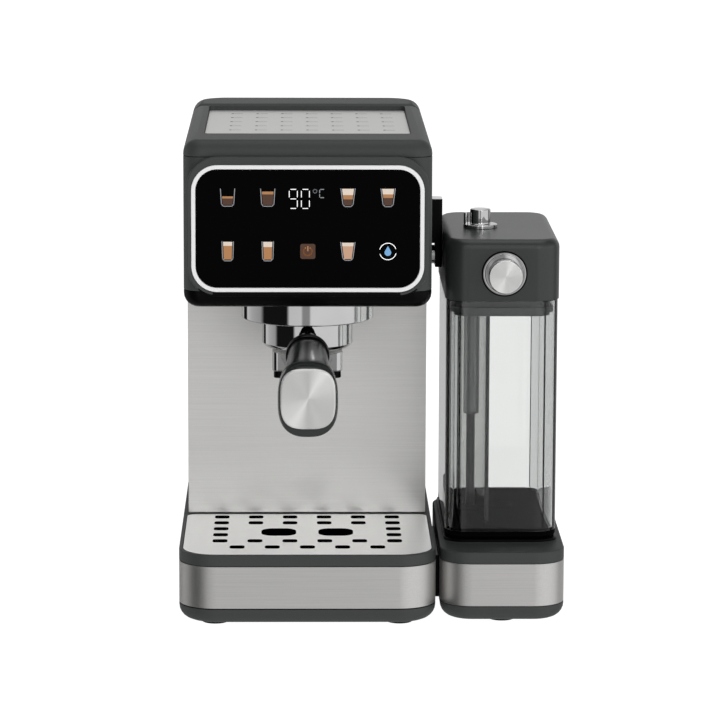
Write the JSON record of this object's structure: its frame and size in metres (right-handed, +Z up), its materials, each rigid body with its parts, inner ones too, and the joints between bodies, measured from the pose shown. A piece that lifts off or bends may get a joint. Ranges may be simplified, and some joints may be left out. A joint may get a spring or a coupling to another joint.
{
  "type": "espresso machine with milk tank",
  "caption": "Countertop espresso machine with a bayonet portafilter over a pull-out drip tray, a touch display, a cup-warming top and a docked milk-frothing tank.",
  "frame": {"origin": "bottom centre of the object's box, on the counter", "axes": "+Z up, the display and handle face -Y, the milk tank is on +X"},
  "size_m": [0.2554, 0.343, 0.3225],
  "materials": {
    "charcoal_plastic": "satin",
    "black_plastic": "satin",
    "pale_frame": "gloss",
    "chamber_plastic": "satin",
    "display_black": "gloss",
    "clear_plastic": "clear",
    "brushed_steel": "brushed",
    "chrome": "polished",
    "aluminium": "cast",
    "silicone": "satin",
    "circuit_board": "satin",
    "rubber": "matte"
  },
  "bodies": {
    "machine": {"base_pan": "charcoal_plastic", "rear_base": "charcoal_plastic", "rear_band": "brushed_steel", "rear_housing": "charcoal_plastic", "splash_back": "brushed_steel", "head_bottom": "charcoal_plastic", "head_shell": "charcoal_plastic", "top_cover": "charcoal_plastic", "warming_plate": "brushed_steel", "display_bezel": "charcoal_plastic", "display_frame": "pale_frame", "display_glass": "display_black", "display_board": "circuit_board", "group_collar": "chrome", "thermoblock": "aluminium", "group_gasket": "silicone", "shower_screen": "brushed_steel", "shower_screw": "brushed_steel", "pump": "brushed_steel", "pump_bracket": "aluminium", "solenoid_valve": "black_plastic", "power_board": "circuit_board", "suction_hose": "silicone", "pressure_hose": "silicone", "steam_hose": "silicone", "water_seat": "silicone", "dock_housing": "black_plastic", "steam_nozzle": "chrome", "milk_base": "charcoal_plastic", "milk_band": "brushed_steel", "base_bridge": "black_plastic", "foot_1": "rubber", "foot_2": "rubber", "foot_3": "rubber", "foot_4": "rubber", "milk_foot_front": "rubber", "milk_foot_rear": "rubber"},
    "drip_tray": {"tray_tub": "charcoal_plastic", "tray_band": "brushed_steel"},
    "grate": {"tray_grate": "brushed_steel"},
    "portafilter": {"portafilter_body": "chrome", "filter_basket": "brushed_steel", "spout_block": "chrome", "spout_tip_left": "black_plastic", "spout_tip_right": "black_plastic", "handle_ferrule": "black_plastic", "handle_stud": "brushed_steel", "handle_grip": "charcoal_plastic", "handle_cap": "brushed_steel"},
    "milk_jug": {"milk_tank": "clear_plastic"},
    "milk_cover": {"milk_lid": "charcoal_plastic", "lid_seal": "silicone", "suction_tube": "silicone", "frother_chamber": "chamber_plastic", "knob_ring": "black_plastic"},
    "froth_dial": {"froth_knob": "brushed_steel"},
    "clean_dial": {"top_knob": "chrome"},
    "water_reservoir": {"water_tank": "clear_plastic", "water_valve": "silicone"},
    "reservoir_lid": {"water_tank_lid": "charcoal_plastic"}
  },
  "joints": [
    {"name": "tray_pull", "type": "slide", "parent": "machine", "child": "drip_tray", "axis": [0, -1, 0], "range_m": [0, 0.135]},
    {"name": "grate_lift", "type": "slide", "parent": "drip_tray", "child": "grate", "axis": [0, 0, 1], "range_m": [0, 0.05]},
    {"name": "portafilter_lock", "type": "hinge", "parent": "machine", "child": "portafilter", "pos_m": [-0.0427, -0.04649, 0.183], "axis": [0, 0, 1], "range_deg": [-50, 0]},
    {"name": "milk_undock", "type": "slide", "parent": "machine", "child": "milk_jug", "axis": [1, 0, 0], "range_m": [0, 0.09]},
    {"name": "milk_cover_lift", "type": "slide", "parent": "milk_jug", "child": "milk_cover", "axis": [0, 0, 1], "range_m": [0, 0.165]},
    {"name": "froth_turn", "type": "hinge", "parent": "milk_cover", "child": "froth_dial", "pos_m": [0.087, -0.07849, 0.2307], "axis": [0, 1, 0], "range_deg": [-120, 120]},
    {"name": "clean_turn", "type": "hinge", "parent": "milk_cover", "child": "clean_dial", "pos_m": [0.0738, -0.01549, 0.253], "axis": [0, 0, 1], "range_deg": [0, 90]},
    {"name": "reservoir_lift", "type": "slide", "parent": "machine", "child": "water_reservoir", "axis": [0, 0, 1], "range_m": [0, 0.27]},
    {"name": "reservoir_lid_hinge", "type": "hinge", "parent": "water_reservoir", "child": "reservoir_lid", "pos_m": [-0.0427, 0.17151, 0.3053], "axis": [-1, 0, 0], "range_deg": [0, 95]}
  ]
}
